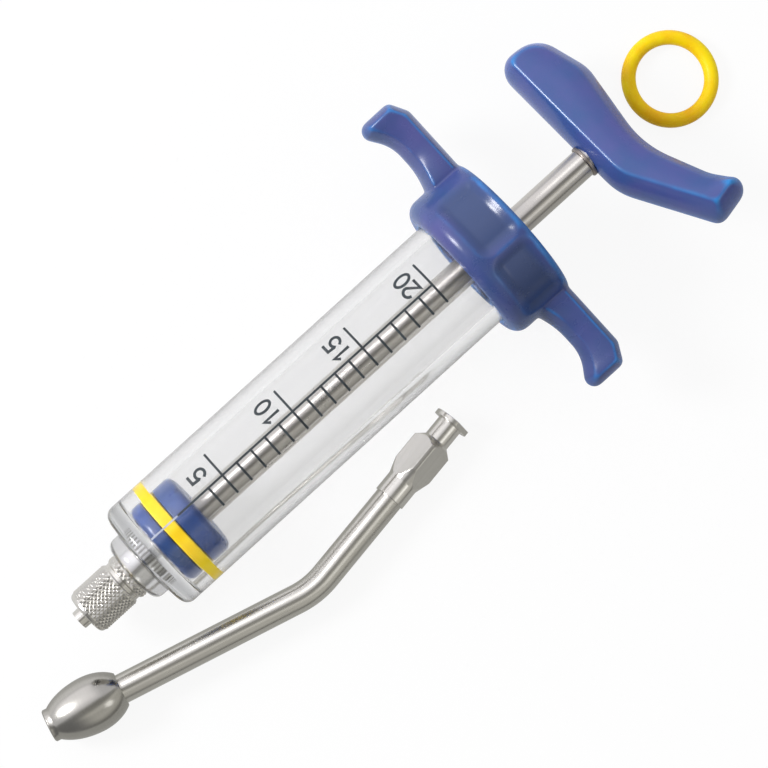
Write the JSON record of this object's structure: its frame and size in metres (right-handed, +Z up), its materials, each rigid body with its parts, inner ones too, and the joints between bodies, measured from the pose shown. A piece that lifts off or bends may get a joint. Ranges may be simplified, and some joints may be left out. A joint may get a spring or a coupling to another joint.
{
  "type": "livestock drencher",
  "caption": "Refillable dosing syringe with a clear graduated barrel, winged screw-on finger grip, steel plunger and palm handle, lying beside a bent olive-tipped drench tube and a spare seal.",
  "frame": {"origin": "Bottom centre of the set's bounding box, on the surface it lies on.", "axes": "+X along the syringe from nozzle to palm handle, +Y to the side away from the drench tube, +Z up."},
  "size_m": [0.1924, 0.0696, 0.0339],
  "materials": {
    "clear_plastic": "clear moulded plastic, polished",
    "blue_nylon": "moulded blue nylon, satin gloss",
    "yellow_rubber": "smooth yellow rubber cord",
    "seal_rubber": "plain grey rubber",
    "steel": "polished lengthwise",
    "nickel": "nickel plate over turned metal"
  },
  "bodies": {
    "barrel": {"barrel": "clear_plastic", "nozzle_insert": "nickel", "nozzle_seal": "seal_rubber", "luer_tip": "nickel"},
    "lock": {"lock_collar": "nickel"},
    "grip_seal": {"grip_gasket": "seal_rubber"},
    "grip": {"finger_grip": "blue_nylon"},
    "piston_ring": {"piston_o_ring": "yellow_rubber"},
    "plunger": {"piston_front": "blue_nylon", "piston_rear": "blue_nylon", "plunger_rod": "steel", "handle_washer": "steel", "plunger_handle": "blue_nylon"},
    "tube": {"drench_tube": "steel", "olive_tip": "nickel", "luer_hub": "nickel"},
    "spare": {"spare_o_ring": "yellow_rubber"}
  },
  "joints": [
    {"name": "plunger_slide", "type": "slide", "parent": "barrel", "child": "piston_ring", "axis": [0.9986, 0, 0.0531], "range_m": [0, 0.0728]},
    {"name": "plunger_turn", "type": "hinge", "parent": "piston_ring", "child": "plunger", "pos_m": [-0.05056, 0, 0.01254], "axis": [0.9986, 0, 0.0531], "continuous": true},
    {"name": "grip_back", "type": "slide", "parent": "barrel", "child": "grip_seal", "axis": [0.9986, 0, 0.0531], "range_m": [0, 0.006]},
    {"name": "grip_turn", "type": "hinge", "parent": "grip_seal", "child": "grip", "pos_m": [0.03357, 0, 0.01701], "axis": [0.9986, 0, 0.0531], "range_deg": [0, 720]},
    {"name": "lock_turn", "type": "hinge", "parent": "barrel", "child": "lock", "pos_m": [-0.06549, 0, 0.01175], "axis": [0.9986, 0, 0.0531], "continuous": true},
    {"name": "tube_lift", "type": "slide", "parent": "barrel", "child": "tube", "axis": [0, 0, 1], "range_m": [0, 0.06]},
    {"name": "spare_lift", "type": "slide", "parent": "barrel", "child": "spare", "axis": [0, 0, 1], "range_m": [0, 0.06]}
  ],
  "couplings": [
    {"joint": "grip_back", "follows": "grip_turn", "m_per_rad": 0.00047746}
  ]
}
